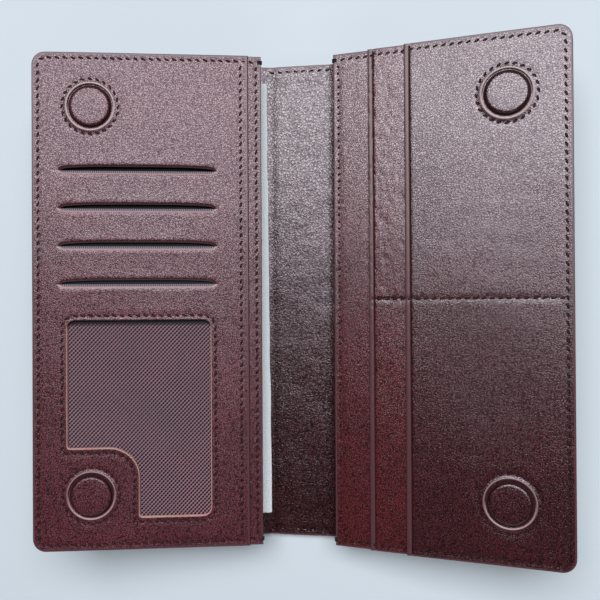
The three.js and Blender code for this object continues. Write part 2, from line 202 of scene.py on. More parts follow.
def corners(node, place):
    """The four corners of a box-shaped CAD node, counter-clockwise from its lower left one."""
    flat = np.unique(flat_points(node, place)[:, :2].round(2), axis=0)
    around = flat - flat.mean(axis=0)
    return flat[np.argsort(np.arctan2(around[:, 1], around[:, 0]))]


COVER_WIDTH = {h: extent(f"outer_cover_{h}", half_place(h))[1][0] for h in SIDE}
BLOCK_WIDTH = {h: COVER_WIDTH[h] - FOLD_MARGIN for h in SIDE}
LEFT = block_place("left")
RIGHT = block_place("right")
HALF_LENGTH = extent("card_panel_left", LEFT)[1][1]
SPINE_HALF = abs(JOINT["left_half"]["pos_m"][0]) / MM
SEAM_ROW = HALF_LENGTH - SEAM_INSET

# ---- Outlines and rows --------------------------------------------------------------


def rounded(turns, steps=14):
    """The points of a closed outline through square corners (x, y, radius)."""
    points = []
    count = len(turns)
    for index, (x, y, radius) in enumerate(turns):
        here = np.array([x, y], float)
        if radius == 0:
            points.append(here)
            continue
        before = np.array(turns[index - 1][:2], float) - here
        after = np.array(turns[(index + 1) % count][:2], float) - here
        before /= np.linalg.norm(before)
        after /= np.linalg.norm(after)
        for turn in np.linspace(0, math.pi / 2, steps):
            points.append(here + radius * ((1 - math.sin(turn)) * before + (1 - math.cos(turn)) * after))
    return np.array(points)


def leaf(inner, outer, radius=CORNER, end=None):
    """A full-length leaf from inner to outer, with round corners on its outer side."""
    end = HALF_LENGTH if end is None else end
    return rounded([(inner, -end, 0), (outer, -end, radius), (outer, end, radius), (inner, end, 0)])


def circle(x, y, radius, count=ROUND_SIDES):
    turn = np.arange(count) * math.tau / count
    return np.column_stack([x + radius * np.cos(turn), y + radius * np.sin(turn)])


def evenly(points, step, closed=True):
    """The same line with a point at least every step."""
    ends = np.roll(points, -1, axis=0) if closed else points[1:]
    starts = points if closed else points[:-1]
    line = []
    for start, end in zip(starts, ends):
        pieces = max(1, math.ceil(np.linalg.norm(end - start) / step))
        line += [start + (end - start) * k / pieces for k in range(pieces)]
    if not closed:
        line.append(points[-1])
    return np.array(line)


def counter_clockwise(points):
    x, y = points[:, 0], points[:, 1]
    area = np.sum(x * np.roll(y, -1) - np.roll(x, -1) * y)
    return points if area > 0 else points[::-1]


def moved_in(points, distance):
    """A counter-clockwise outline moved inwards by a distance, or outwards where it is negative."""
    forward = np.roll(points, -1, axis=0) - points
    forward /= np.linalg.norm(forward, axis=1)[:, None]
    left = np.column_stack([-forward[:, 1], forward[:, 0]])
    both = left + np.roll(left, 1, axis=0)
    both /= np.maximum((both * left).sum(axis=1), 0.5)[:, None]
    return points + distance * both


def inside(points, outline):
    """Which points lie inside a closed outline."""
    x, y = points[:, 0], points[:, 1]
    found = np.zeros(len(points), bool)
    for (x0, y0), (x1, y1) in zip(outline, np.roll(outline, -1, axis=0)):
        if y0 == y1:
            continue
        crosses = (y0 > y) != (y1 > y)
        found ^= crosses & (x < x0 + (y - y0) * (x1 - x0) / (y1 - y0))
    return found


def inside_box(points, outline):
    """The same, tested only for the points in the outline's box."""
    near = np.all((points > outline.min(axis=0)) & (points < outline.max(axis=0)), axis=1)
    found = np.zeros(len(points), bool)
    found[near] = inside(points[near], outline)
    return found


def on_leather(points, loops, clearance=0.0):
    """Which points lie inside a sheet's outline and outside its holes, clear of each by a distance."""
    found = np.ones(len(points), bool)
    for (outline, _, way), clear in zip(loops, np.broadcast_to(clearance, len(loops))):
        found &= inside_box(points, moved_in(outline, way * clear)) == (way > 0)
    return found


def distance_to(points):
    """A function that gives the distance from each place to the nearest of these points."""
    tree = kdtree.KDTree(len(points))
    for index, (x, y) in enumerate(points):
        tree.insert((x, y, 0), index)
    tree.balance()
    return lambda x, y: np.array([tree.find((a, b, 0))[2] for a, b in zip(x, y)])


def ripple(x, y, length, seed, count=7):
    """A smooth random surface, mostly from -1 to 1, with waves of about this length."""
    pick = np.random.default_rng(seed)
    total = 0.0
    for _ in range(count):
        turn, phase = pick.uniform(0, math.tau, 2)
        wave = math.tau / (length * pick.uniform(0.7, 1.5))
        total = total + np.sin(wave * (x * math.cos(turn) + y * math.sin(turn)) + phase)
    return total / count**0.5


class Row:
    """A row of stitch holes along a line: where they are, and which way the line runs there."""

    def __init__(self, line, pitch, closed=False, slant=22.0, long=0.92):
        ends = np.vstack([line, line[:1]]) if closed else np.asarray(line, float)
        lengths = np.linalg.norm(np.diff(ends, axis=0), axis=1)
        along = np.concatenate([[0], np.cumsum(lengths)])
        count = max(1, round(along[-1] / pitch))
        stops = np.arange(count + (0 if closed else 1)) * along[-1] / count

        def point(distance):
            return np.column_stack([np.interp(distance, along, ends[:, k]) for k in (0, 1)])

        self.at = point(stops)
        heading = point(stops + 0.05) - point(stops - 0.05)
        self.heading = np.arctan2(heading[:, 1], heading[:, 0])
        self.closed = closed
        self.slant = math.radians(slant)
        self.long = long

    def axes(self):
        """The direction of each slanted hole's long side."""
        turn = self.heading + self.slant
        return np.column_stack([np.cos(turn), np.sin(turn)])


def perimeter_line(start, width):
    """The line of the perimeter stitching, from the fold edge out, round and back."""
    outer = width - SEAM_INSET
    return evenly(leaf(start, outer, CORNER - SEAM_INSET + 0.6, SEAM_ROW), 0.5, closed=False)


def straight_row(seam, place, pitch, **stitch):
    """A row along the wallet, down the middle of a CAD seam."""
    low, high = extent(seam, place)
    x = (low[0] + high[0]) / 2
    reach = SEAM_ROW - ROW_END
    return Row(np.array([[x, -reach], [x, reach]]), pitch, **stitch)


# ---- Meshes -------------------------------------------------------------------------


def make_object(name, points, faces, materials, slots=None, sharp=50):
    """A smooth-shaded object from points in metres, with its faces turned out."""
    mesh = bpy.data.meshes.new(name)
    mesh.from_pydata(np.asarray(points).tolist(), [], faces)
    for material in materials:
        mesh.materials.append(material)
    if slots is not None:
        mesh.polygons.foreach_set("material_index", slots)
    shape = bmesh.new()
    shape.from_mesh(mesh)
    bmesh.ops.recalc_face_normals(shape, faces=shape.faces)
    shape.to_mesh(mesh)
    shape.free()
    mesh.polygons.foreach_set("use_smooth", [True] * len(mesh.polygons))
    mesh.set_sharp_from_angle(angle=math.radians(sharp))
    piece = bpy.data.objects.new(name, mesh)
    bpy.context.scene.collection.objects.link(piece)
    return piece


class Edge:
    """The worked edge of a leaf: how far in each ring lies and how far it drops there."""

    def __init__(self, rings, band=0.0, slot=0):
        self.rings = rings
        self.band = band
        self.slot = slot


def round_edge(radius, band=0.0, slot=0, extra=()):
    """A rounded edge, with more rings further in."""
    turns = [math.radians(turn) for turn in (0, 25, 50, 72, 90)]
    rings = [(radius * (1 - math.cos(t)), radius * (1 - math.sin(t))) for t in turns]
    return Edge(rings + [(inset, 0.0) for inset in extra], band, slot)


def triangulated(points, edges):
    """A triangulation that keeps these edges, and the point that each of its corners comes from."""
    flat = [Vector(point) for point in points.tolist()]
    found, _, faces, origins, _, _ = delaunay_2d_cdt(flat, edges, [], 0, 1e-5)
    source = np.array([origin[0] if origin else -1 for origin in origins])
    return np.array([tuple(p) for p in found]), np.array(faces), source


def grid_points(box, zones):
    """A staggered grid of points, finer or coarser by zones (start, end, spacing) across."""
    points = []
    (_, y0), (_, y1) = box
    for start, end, spacing in zones:
        columns = max(1, round((end - start) / (spacing * 0.866)))
        for column in range(columns):
            x = start + (column + 0.5) * (end - start) / columns
            ys = np.arange(y0 + (column % 2) * spacing / 2, y1, spacing)
            points.append(np.column_stack([np.full(len(ys), x), ys]))
    return np.vstack(points)


def strip(x, low, high, offsets, step):
    """Points along a worked line at x, so that the mesh can follow its section."""
    ys = np.arange(low, high, step)
    return np.vstack([np.column_stack([np.full(len(ys), x + offset), ys]) for offset in offsets])


def level(x, _):
    return np.zeros_like(x)


class Layout:
    """A sheet's flat points, each with its drop below the face and its material, and the edges to keep."""

    def __init__(self):
        self.points, self.drops, self.tags, self.edges = [], [], [], []

    def add(self, points, drop=0.0, tag=0, closed=True):
        first = sum(len(p) for p in self.points)
        count = len(points)
        self.points.append(points)
        self.drops.append(np.full(count, drop))
        self.tags.append(np.full(count, tag))
        if closed:
            self.edges.extend((first + k, first + (k + 1) % count) for k in range(count))

    def add_edge(self, outline, edge, way):
        for inset, drop in edge.rings:
            self.add(moved_in(outline, way * inset), drop, edge.slot if inset <= edge.band else 0)

    def add_holes(self, row, bound):
        """The punched holes of a row within a bound, and the outer ring of each."""
        rims = []
        kept = inside_box(row.at, bound)
        for centre, axis in zip(row.at[kept], row.axes()[kept]):
            oval = circle(0, 0, 1, 8) * (row.long, STITCH_WIDE)
            turned = oval @ np.array([axis, (-axis[1], axis[0])])
            for share, drop in HOLE_RINGS:
                self.add(centre + turned * share, drop)
            self.add(centre[None, :], HOLE_DEPTH, closed=False)
            rims.append(centre + turned * HOLE_RINGS[0][0])
        return rims


def sparse_back(flat, rim, loops, box):
    """A back with few points that meets a sheet's rim: its points, its faces and where each rim point is."""
    rim_points = np.unique(rim)
    index = {old: new for new, old in enumerate(rim_points)}
    grid = grid_points(box, [(box[0][0], box[1][0], COARSE)])
    grid = grid[on_leather(grid, loops, BACK_CLEARANCE)]
    rim_edges = [(index[a], index[b]) for a, b in rim]
    found, faces, origins = triangulated(np.vstack([flat[rim_points], grid]), rim_edges)
    faces = faces[on_leather(found[faces].mean(axis=1), loops)]
    order = {old: new for new, old in enumerate(origins)}
    return found, faces, {old: order[index[old]] for old in rim_points}


def leather_sheet(name, put, materials, low, high, outer, edge, relief, holes=(), zones=None, rows=(),
                  lines=None, lift=level, trim=None, same_back=False, bands=()):
    """A sheet of leather between two levels, with worked edges, cut-outs and punched stitch holes.

    holes are (outline, edge) pairs and rows are the stitching that goes through. relief raises the
    upper face, and lift raises the whole sheet. trim cuts the sheet off square at that x. bands are
    (from x, to x, material slot), for lengthwise stripes of another material.
    """
    loops = [(counter_clockwise(evenly(outer, 1.0)), edge, 1)]
    loops += [(counter_clockwise(evenly(outline, 0.8)), worked, -1) for outline, worked in holes]
    box = (outer.min(axis=0), outer.max(axis=0))
    outline, depth = loops[0][0], edge.rings[-1][0]
    layout = Layout()
    for loop in loops:
        layout.add_edge(*loop)
    fixed = list(layout.points)
    for row in rows:
        fixed += layout.add_holes(row, moved_in(outline, depth + row.long))
    if lines is not None:
        lines = lines[inside_box(lines, moved_in(outline, depth + EDGE_CLEARANCE))]
        layout.add(lines, closed=False)
        fixed.append(lines)
    grid = grid_points(box, zones or [(box[0][0], box[1][0], GRID)])
    grid = grid[on_leather(grid, loops, [worked.rings[-1][0] + EDGE_CLEARANCE for _, worked, _ in loops])]
    clear = distance_to(np.vstack(fixed))(*grid.T) > GRID * 0.55
    layout.add(grid[clear], closed=False)

    flat, faces, source = triangulated(np.vstack(layout.points), layout.edges)
    faces = faces[on_leather(flat[faces].mean(axis=1), loops)]
    drop = np.concatenate(layout.drops)[source]
    tag = np.concatenate(layout.tags)[source]
    corner_tags = tag[faces]
    slots = np.where((corner_tags == corner_tags[:, :1]).all(axis=1), corner_tags[:, 0], 0)
    across = flat[faces].mean(axis=1)[:, 0]
    for start, end, slot in bands:
        slots = np.where((across > start) & (across < end), slot, slots)
    sides = np.vstack([faces[:, [0, 1]], faces[:, [1, 2]], faces[:, [2, 0]]])
    _, first, uses = np.unique(np.sort(sides, axis=1), axis=0, return_index=True, return_counts=True)
    rim = sides[first[uses == 1]]

    if same_back:
        back, back_faces, wall = flat, faces, {old: old for old in np.unique(rim)}
    else:
        back, back_faces, wall = sparse_back(flat, rim, loops, box)
    x, y = flat[:, 0], flat[:, 1]
    upper = np.column_stack([x, y, high - drop + relief(x, y) + lift(x, y)])
    lower = np.column_stack([back, low + lift(back[:, 0], back[:, 1])])
    shift = len(upper)
    walls = [(b, a, shift + wall[a], shift + wall[b]) for a, b in rim]
    wall_slots = [int(tag[a]) for a, _ in rim]
    all_faces = faces.tolist() + (back_faces[:, ::-1] + shift).tolist() + walls
    all_slots = slots.tolist() + [0] * len(back_faces) + wall_slots
    piece = make_object(name, put(np.vstack([upper, lower])), all_faces, materials, all_slots)
    if trim is not None:
        cut_square(piece, put, trim)
    return piece


def cut_square(piece, put, x):
    """Removes what lies at a smaller flat x, leaving a square end to meet its neighbour."""
    here, ahead = put(np.array([[x, 0, 0], [x + 1, 0, 0]], float))
    shape = bmesh.new()
    shape.from_mesh(piece.data)
    everything = shape.verts[:] + shape.edges[:] + shape.faces[:]
    bmesh.ops.bisect_plane(shape, geom=everything, plane_co=here, plane_no=ahead - here, clear_inner=True)
    shape.to_mesh(piece.data)
    shape.free()


def skin(count, rings, first=0):
    """The faces between successive rings of count points, counted from the first point."""
    faces = []
    for k in range(rings - 1):
        a, b = first + k * count, first + (k + 1) * count
        faces += [(a + i, a + (i + 1) % count, b + (i + 1) % count, b + i) for i in range(count)]
    return faces


def tubes(name, put, paths, material):
    """Thread along each path, laid up from two strands that turn round each other."""
    points, faces = [], []
    sides = THREAD_SIDES
    turn = np.arange(sides) * math.tau / sides
    for path in paths:
        path = np.asarray(path, float)
        count = len(path)
        ahead = np.gradient(path, axis=0)
        ahead /= np.linalg.norm(ahead, axis=1)[:, None]
        beside = np.cross(ahead, (0, 0, 1.0))
        weak = np.linalg.norm(beside, axis=1) < 0.05
        beside[weak] = (0, 1.0, 0)
        beside /= np.linalg.norm(beside, axis=1)[:, None]
        above = np.cross(beside, ahead)
        share = np.linspace(0, 1, count)
        size = THREAD_RADIUS * (1 - 0.35 * np.abs(2 * share - 1) ** 6)
        first = len(points) * sides
        for k in range(count):
            strand = 1 + 0.16 * np.cos(2 * (turn - THREAD_TWIST * math.tau * share[k]))
            ring = np.outer(np.cos(turn) * strand, beside[k]) + np.outer(np.sin(turn) * strand, above[k])
            points.append(path[k] + size[k] * ring)
        last = first + (count - 1) * sides
        faces += skin(sides, count, first)
        faces.append(tuple(range(first, first + sides))[::-1])
        faces.append(tuple(range(last, last + sides)))
    return make_object(name, put(np.vstack(points)), faces, [material], sharp=80)


def stitches(row, height, rise=-0.16, sign=1):
    """The path of each stitch of a row over a surface, sunk at both ends of its own slanted hole."""
    share = np.linspace(0, 1, STITCH_POINTS)
    arch = np.sin(math.pi * share) ** 0.55
    paths = []
    for centre, axis in zip(row.at, row.axes()):
        start, end = centre - row.long * axis, centre + row.long * axis
        flat = start + np.outer(share, end - start)
        surface = height(flat[:, 0], flat[:, 1])
        if surface.max() - surface.min() > 0.3:
            surface = np.maximum(surface, surface.min() + np.ptp(surface) * smooth(share, 0, 1))
        paths.append(np.column_stack([flat, surface + sign * ((STITCH_SINK + rise) * arch - STITCH_SINK)]))
    return paths


def turned_piece(name, put, profile, x, y, materials, bands):
    """A round piece about an axis through (x, y), from a profile of (radius, height)."""
    count = ROUND_SIDES
    points = [np.column_stack([circle(x, y, radius), np.full(count, height)]) for radius, height in profile]
    faces = skin(count, len(profile))
    faces.append(tuple(range(count)))
    faces.append(tuple(range((len(profile) - 1) * count, len(profile) * count)))
    slots = [band for band in bands for _ in range(count)] + [0, 0]
    return make_object(name, put(np.vstack(points)), faces, materials, slots, sharp=60)


def ribbon(name, put, section, start, end, thickness, materials, first=0):
    """Cloth along a section of (y, z) points. Its first stretches wear the second material."""
    section = np.asarray(section, float)
    ahead = np.gradient(section, axis=0)
    ahead /= np.linalg.norm(ahead, axis=1)[:, None]
    side = np.column_stack([-ahead[:, 1], ahead[:, 0]]) * thickness / 2
    loop = np.vstack([section + side, (section - side)[::-1]])
    columns = np.linspace(start, end, max(2, round((end - start) / CLOTH_STEP) + 1))
    count = len(loop)
    points = np.vstack([np.column_stack([np.full(count, x), loop]) for x in columns])
    faces = skin(count, len(columns))
    slots = [int(i < first or i >= count - first - 1) for i in range(count)] * (len(columns) - 1)
    half = count // 2
    for base in (0, (len(columns) - 1) * count):
        last = base + count - 1
        faces += [(base + i, base + i + 1, last - 1 - i, last - i) for i in range(half - 1)]
        slots += [0] * (half - 1)
    return make_object(name, put(points), faces, materials, slots)


def dress(piece, body, slot, *nodes):
    """Sets the body that a piece rides on and hides the CAD nodes that it replaces. Its slot argument is not
    used.
    """
    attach(piece, body)
    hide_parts(*nodes)


# ---- Materials ----------------------------------------------------------------------


class Shader:
    """A material made of nodes. Lengths in its textures are millimetres in the model's frame."""

    def __init__(self, name):
        self.material = bpy.data.materials.new(name)
        self.material.use_nodes = True
        self.tree = self.material.node_tree
        self.tree.nodes.clear()
        place = self.node("TexCoord").outputs["Object"]
        self.place = self.vector("SCALE", place, Scale=1 / MM)

    def node(self, kind, settings=(), **inputs):
        node = self.tree.nodes.new("ShaderNode" + kind)
        for key, value in dict(settings).items():
            setattr(node, key, value)
        for key, value in inputs.items():
            self.feed(node.inputs[key.replace("_", " ")], value)
        return node

    def feed(self, socket, value):
        if isinstance(value, bpy.types.NodeSocket):
            self.tree.links.new(value, socket)
        else:
            socket.default_value = value

    def vector(self, operation, first, second=None, **inputs):
        node = self.node("VectorMath", {"operation": operation}, **inputs)
        self.feed(node.inputs[0], first)
        if second is not None:
            self.feed(node.inputs[1], second)
        return node.outputs[0]

    def math(self, operation, first, second=0.0, clamp=False):
        node = self.node("Math", {"operation": operation, "use_clamp": clamp})
        self.feed(node.inputs[0], first)
        self.feed(node.inputs[1], second)
        return node.outputs[0]

    def between(self, value, low, high, start=0.0, end=1.0):
        node = self.node("MapRange", {"interpolation_type": "SMOOTHSTEP"}, Value=value, From_Min=low,
                         From_Max=high, To_Min=start, To_Max=end)
        return node.outputs[0]

    def mix(self, share, first, second):
        node = self.node("Mix", {"data_type": "RGBA"})
        self.feed(node.inputs[0], share)
        self.feed(node.inputs[6], first)
        self.feed(node.inputs[7], second)
        return node.outputs[2]

    def noise(self, length, detail=3.0, roughness=0.55, place=None):
        node = self.node("TexNoise", Vector=place or self.place, Scale=1 / length, Detail=detail,
                         Roughness=roughness)
        return node.outputs[0]

    def cells(self, length, place=None):
        """The distance from a cell's border, for cells of about this length."""
        node = self.node("TexVoronoi", {"feature": "DISTANCE_TO_EDGE"}, Vector=place or self.place,
                         Scale=1 / length)
        return node.outputs[0]

    def warped(self, length, amount):
        """The place, pushed about by noise."""
        noise = self.node("TexNoise", Vector=self.place, Scale=1 / length, Detail=2.0).outputs[1]
        centred = self.vector("SUBTRACT", noise, (0.5, 0.5, 0.5))
        return self.vector("ADD", self.place, self.vector("SCALE", centred, Scale=amount))

    def shaded(self, tone, dark, low, high):
        """Painted light: the tone where the surface leans up the wallet, towards the lamp, and a dark
        painted shade where it leans down it.
        """
        lean = self.node("SeparateXYZ", Vector=self.node("NewGeometry").outputs["Normal"]).outputs[1]
        return self.mix(self.between(lean, low, high), dark, tone)

    def bump(self, height, depth, strength=1.0):
        return self.node("Bump", Height=height, Distance=depth * MM, Strength=strength).outputs[0]

    def surface(self, colour, roughness, normal=None, **inputs):
        shader = self.node("BsdfPrincipled", Base_Color=colour, Roughness=roughness, **inputs)
        if normal is not None:
            self.feed(shader.inputs["Normal"], normal)
        output = self.node("OutputMaterial")
        self.tree.links.new(shader.outputs[0], output.inputs["Surface"])
        return self.material


def colour(red, green, blue):
    return (red, green, blue, 1.0)


SHEEN_TINT = colour(1.0, 0.68, 0.84)


def leather_material(name, base, valley_shade, cell, depth, roughness, gloss, dull=0.2):
    """Grained leather: winding glossy ridges with dull valleys between, painted dark as shade in the grain's
    hollows, over slow changes of tone.
    """
    shader = Shader(name)
    place = shader.warped(2.0 * cell, 1.0 * cell)
    winding = shader.between(shader.noise(cell, 2.0, 0.5, place), 0.34, 0.53)
    pebbles = shader.between(shader.cells(1.6 * cell, place), 0.0, 0.20, 0.2, 1.0)
    grain = shader.math("MULTIPLY", winding, pebbles)
    swell = shader.math("MULTIPLY", shader.noise(2.6, 3.0, 0.6), 2.0)
    wave = shader.math("MULTIPLY", shader.noise(13.0, 2.0), 5.0)
    slow = shader.noise(30.0, 3.0, 0.6)
    height = shader.math("ADD", grain, shader.math("ADD", swell, wave))
    lighter = tuple(1.3 * part for part in base[:3]) + (1.0,)
    ridge = shader.mix(shader.between(slow, 0.35, 0.7), base, lighter)
    # the valleys' colour is the grain's hollows darkened with painted shade
    tone = shader.mix(grain, valley_shade, ridge)
    finish = shader.between(grain, 0.0, 0.9, dull * gloss, gloss)
    normal = shader.bump(height, depth)
    return shader.surface(tone, roughness, normal, IOR=1.5, Specular_IOR_Level=0.45,
                          Specular_Tint=SHEEN_TINT, Coat_Weight=finish, Coat_Roughness=0.24,
                          Coat_IOR=1.85, Coat_Normal=normal)


def fibre_material(name, length, dark, light, roughness, depth, detail=4.0, rough=0.7, **finish):
    """A fine, even grain between two tones."""
    shader = Shader(name)
    fibre = shader.noise(length, detail, rough)
    return shader.surface(shader.mix(fibre, dark, light), roughness, shader.bump(fibre, depth), **finish)


def edge_material(name, base, roughness, gloss=0.6):
    """The smooth painted or rubbed edge of a leaf, hardly grained."""
    darker = tuple(0.7 * part for part in base[:3]) + (1.0,)
    return fibre_material(name, 0.9, darker, base, roughness, 0.03, rough=0.6, IOR=1.5,
                          Specular_IOR_Level=gloss)


def lip_light_and_shade_material():
    """The lip of a slot or a snap's cut-out: a pale painted highlight where it leans up the wallet, towards
    the lamp, and painted shade where it leans down it.
    """
    shader = Shader("lip_painted_highlight_and_shade")
    grain = shader.noise(0.7, 4.0, 0.6)
    # the pale tones are a painted highlight, the dark one below is painted shade
    tone = shader.mix(grain, colour(0.26, 0.13, 0.14), colour(0.52, 0.33, 0.34))
    tone = shader.shaded(tone, colour(0.040, 0.010, 0.013), -0.10, 0.10)
    return shader.surface(tone, 0.36, shader.bump(grain, 0.03), Coat_Weight=0.5, Coat_Roughness=0.25)


def raw_edge_and_shade_material():
    """The cut edge of the window: undyed leather, with painted shade on the side that leans down the wallet,
    away from the lamp.
    """
    shader = Shader("raw_leather_edge_and_painted_shade")
    fibre = shader.noise(0.35, 5.0, 0.7)
    slow = shader.noise(9.0, 2.0)
    tone = shader.mix(fibre, colour(0.36, 0.19, 0.15), colour(0.66, 0.43, 0.35))
    tone = shader.mix(shader.between(slow, 0.4, 0.65), tone, colour(0.50, 0.25, 0.20))
    # painted shade where the edge leans down the wallet, away from the lamp
    tone = shader.shaded(tone, colour(0.012, 0.004, 0.005), -0.35, -0.10)
    return shader.surface(tone, 0.7, shader.bump(fibre, 0.08))


def twill_material():
    """Blue-grey lining cloth with fine upright ribs."""
    shader = Shader("ribbed_twill")
    across = shader.node("SeparateXYZ", Vector=shader.place).outputs[0]
    height = shader.between(shader.math("SINE", shader.math("MULTIPLY", across, math.tau / 0.7)), -0.5, 0.5)
    tone = shader.mix(height, colour(0.014, 0.012, 0.016), colour(0.27, 0.25, 0.30))
    return shader.surface(tone, 0.7, shader.bump(height, 0.06), Sheen_Weight=0.2)


def mesh_material():
    """The window's mesh of purple-brown yarn."""
    shader = Shader("window_mesh_yarn")
    fibre = shader.noise(0.22, 4.0, 0.7)
    slow = shader.noise(14.0, 2.0)
    tone = shader.mix(fibre, colour(0.17, 0.072, 0.092), colour(0.44, 0.225, 0.275))
    tone = shader.mix(shader.between(slow, 0.35, 0.7, 0.0, 0.5), tone, colour(0.23, 0.135, 0.18))
    return shader.surface(tone, 0.6, shader.bump(fibre, 0.04), Sheen_Weight=0.15, Sheen_Roughness=0.5)


def metal_material():
    shader = Shader("brushed_metal")
    streaks = shader.noise(0.7, 4.0, 0.6)
    tone = shader.mix(streaks, colour(0.42, 0.42, 0.43), colour(0.62, 0.62, 0.64))
    rough = shader.between(streaks, 0.3, 0.7, 0.25, 0.45)
    return shader.surface(tone, rough, shader.bump(streaks, 0.02), Metallic=1.0)


def packing_material():
    """Pale packing foam with a fine open grain."""
    shader = Shader("packing_foam")
    pores = shader.between(shader.cells(0.7), 0.0, 0.35)
    fine = shader.noise(0.5, 4.0, 0.7)
    height = shader.math("ADD", pores, fine)
    tone = shader.mix(shader.between(height, 0.5, 1.4), colour(0.90, 0.95, 1.0), colour(0.96, 0.98, 1.0))
    return shader.surface(tone, 0.85, shader.bump(height, 0.10))


def floor_material():
    shader = Shader("pale_floor")
    slow = shader.noise(400.0, 2.0)
    tone = shader.mix(slow, colour(0.62, 0.67, 0.72), colour(0.65, 0.70, 0.75))
    return shader.surface(tone, 0.75)


# The second colour of each leather is the painted shade of its grain valleys.
PANEL_LEATHER = leather_material(
    "panel_grain", colour(0.130, 0.0250, 0.032),
    colour(0.006, 0.0015, 0.0020), 0.52, 0.028, 0.38, 0.60, 0.05)
STRIP_LEATHER = leather_material(
    "strip_grain", colour(0.108, 0.0115, 0.0135),
    colour(0.008, 0.0015, 0.0020), 0.50, 0.024, 0.33, 1.0, 0.15)
POCKET_LEATHER = leather_material(
    "pocket_grain", colour(0.062, 0.0062, 0.0078),
    colour(0.006, 0.0011, 0.0016), 0.52, 0.026, 0.32, 1.0, 0.2)
LINING_LEATHER = leather_material(
    "lining_grain", colour(0.040, 0.0036, 0.0044),
    colour(0.003, 0.0005, 0.0007), 0.68, 0.034, 0.31, 1.0, 0.15)
COVER_LEATHER = leather_material(
    "cover_grain", colour(0.075, 0.0145, 0.0180),
    colour(0.008, 0.0014, 0.002), 0.60, 0.034, 0.38, 0.8)
EDGE_PAINT = edge_material("painted_edge", colour(0.105, 0.036, 0.043), 0.34)
LIP_LIGHT_AND_SHADE = lip_light_and_shade_material()
# Painted shade: the dark colour of the pockets' crease lines and of the grooves round the snaps' discs.
CREASE_SHADE = edge_material("crease_painted_shade", colour(0.026, 0.007, 0.0085), 0.7, 0.15)
RAW_EDGE_AND_SHADE = raw_edge_and_shade_material()
THREAD = fibre_material("sewing_thread", 0.16, colour(0.006, 0.0018, 0.0022), colour(0.036, 0.011, 0.014),
                        0.45, 0.03, Specular_IOR_Level=0.4)
TWILL = twill_material()
# Painted shade: near-black cloth on the pockets' backs, seen through the slots, and on the backing, seen
# through the mesh's openings.
SHADE_CLOTH = fibre_material("painted_shade_cloth", 0.3, colour(0.004, 0.004, 0.006),
                            colour(0.020, 0.018, 0.022), 0.9, 0.06)
MESH_YARN = mesh_material()
BOARD = fibre_material("fibre_board", 0.8, colour(0.20, 0.15, 0.10), colour(0.36, 0.29, 0.21), 0.9, 0.05,
                       detail=5.0)
METAL = metal_material()
PACKING = packing_material()

# ---- Shared parts of the leather work -----------------------------------------------

LEAF_EDGE = round_edge(0.42, band=0.9, slot=1, extra=(0.9,))
THIN_EDGE = round_edge(0.3, band=0.7, slot=1, extra=(0.7,))
# Slot 3 on a slot's or a snap cut-out's edge is the lip's painted highlight and shade.
SLOT_EDGE = Edge(
    [(0.0, 0.78), (0.10, 0.54), (0.30, 0.38), (0.55, 0.22), (0.80, 0.09), (1.10, 0.0)], band=0.8, slot=3)
SNAP_EDGE = round_edge(0.30, band=0.9, slot=3, extra=(0.6, 0.9, 1.2))
# Slot 2 on the window's edge is the raw cut edge, with its painted shade.
WINDOW_EDGE = Edge(
    [(0.0, 0.72), (0.14, 0.40), (0.28, 0.14), (0.42, 0.02), (0.70, 0.0), (1.0, 0.0)], band=0.6, slot=2)


def snap_places(half, place):
    """The centre of each snap of a block, from its CAD cap."""
    centres = []
    for end in ("top", "bottom"):
        low, high = extent(f"snap_cap_{half}_{end}", place)
        centres.append((end, (low[0] + high[0]) / 2, (low[1] + high[1]) / 2, high[2]))
    return centres


def snap_row(x, y):
    pitch = math.tau * SNAP_SEAM / RING_STITCHES
    return Row(circle(x, y, SNAP_SEAM, 96), pitch, closed=True, slant=18, long=0.85)


def snap_rim(x, y, snaps):
    """The leather pressed up round each snap's cut-out."""
    total = 0.0
    for _, centre_x, centre_y, _ in snaps:
        away = np.hypot(x - centre_x, y - centre_y)
        total = total + 0.16 * np.exp(-(((away - 9.1) / 0.75) ** 2))
    return total


def seam_dip(rows, depth=0.14, width=0.85):
    """The dip that the thread pulls into the leather along its rows."""
    away = distance_to(np.vstack([evenly(row.at, 0.7, closed=row.closed) for row in rows]))
    return lambda x, y: -depth * np.exp(-((away(x, y) / width) ** 2))


def add_snaps(half, place, snaps, leather, sink):
    """Each snap's leather cap, pressed over its disc."""
    for end, x, y, top in snaps:
        low = extent(f"snap_cap_{half}_{end}", place)[0][2]
        panel = top - 1.0
        floor = panel - sink
        profile = [
            (0.0, top - 0.05), (2.5, top - 0.05), (4.8, top - 0.06), (6.3, top - 0.08), (6.8, top - 0.12),
            (7.1, top - 0.24), (7.3, top - 0.46), (7.42, top - 0.74), (7.5, panel), (7.6, floor + 0.05),
            (7.75, floor), (8.2, floor), (8.5, floor + 0.10), (8.65, floor + 0.05), (8.6, low), (7.15, low),
            (7.15, top - 0.80), (0.0, top - 0.70),
        ]
        # bands 7 to 10, the groove round the disc, wear the painted shade
        bands = [0, 0, 0, 0, 0, 0, 0, 2, 2, 2, 2, 0, 0, 0, 0, 0, 0]
        cap = turned_piece(f"snap_leather_{half}_{end}", place, profile, x, y,
                           [leather, LIP_LIGHT_AND_SHADE, CREASE_SHADE], bands)
        dress(cap, f"{half}_half", "leather", f"snap_cap_{half}_{end}")


def add_thread(seam, put, paths, body):
    """The thread of one CAD seam, from the path of each of its stitches."""
    dress(tubes(f"thread_{seam}", put, paths, THREAD), body, "thread", f"seam_{seam}")


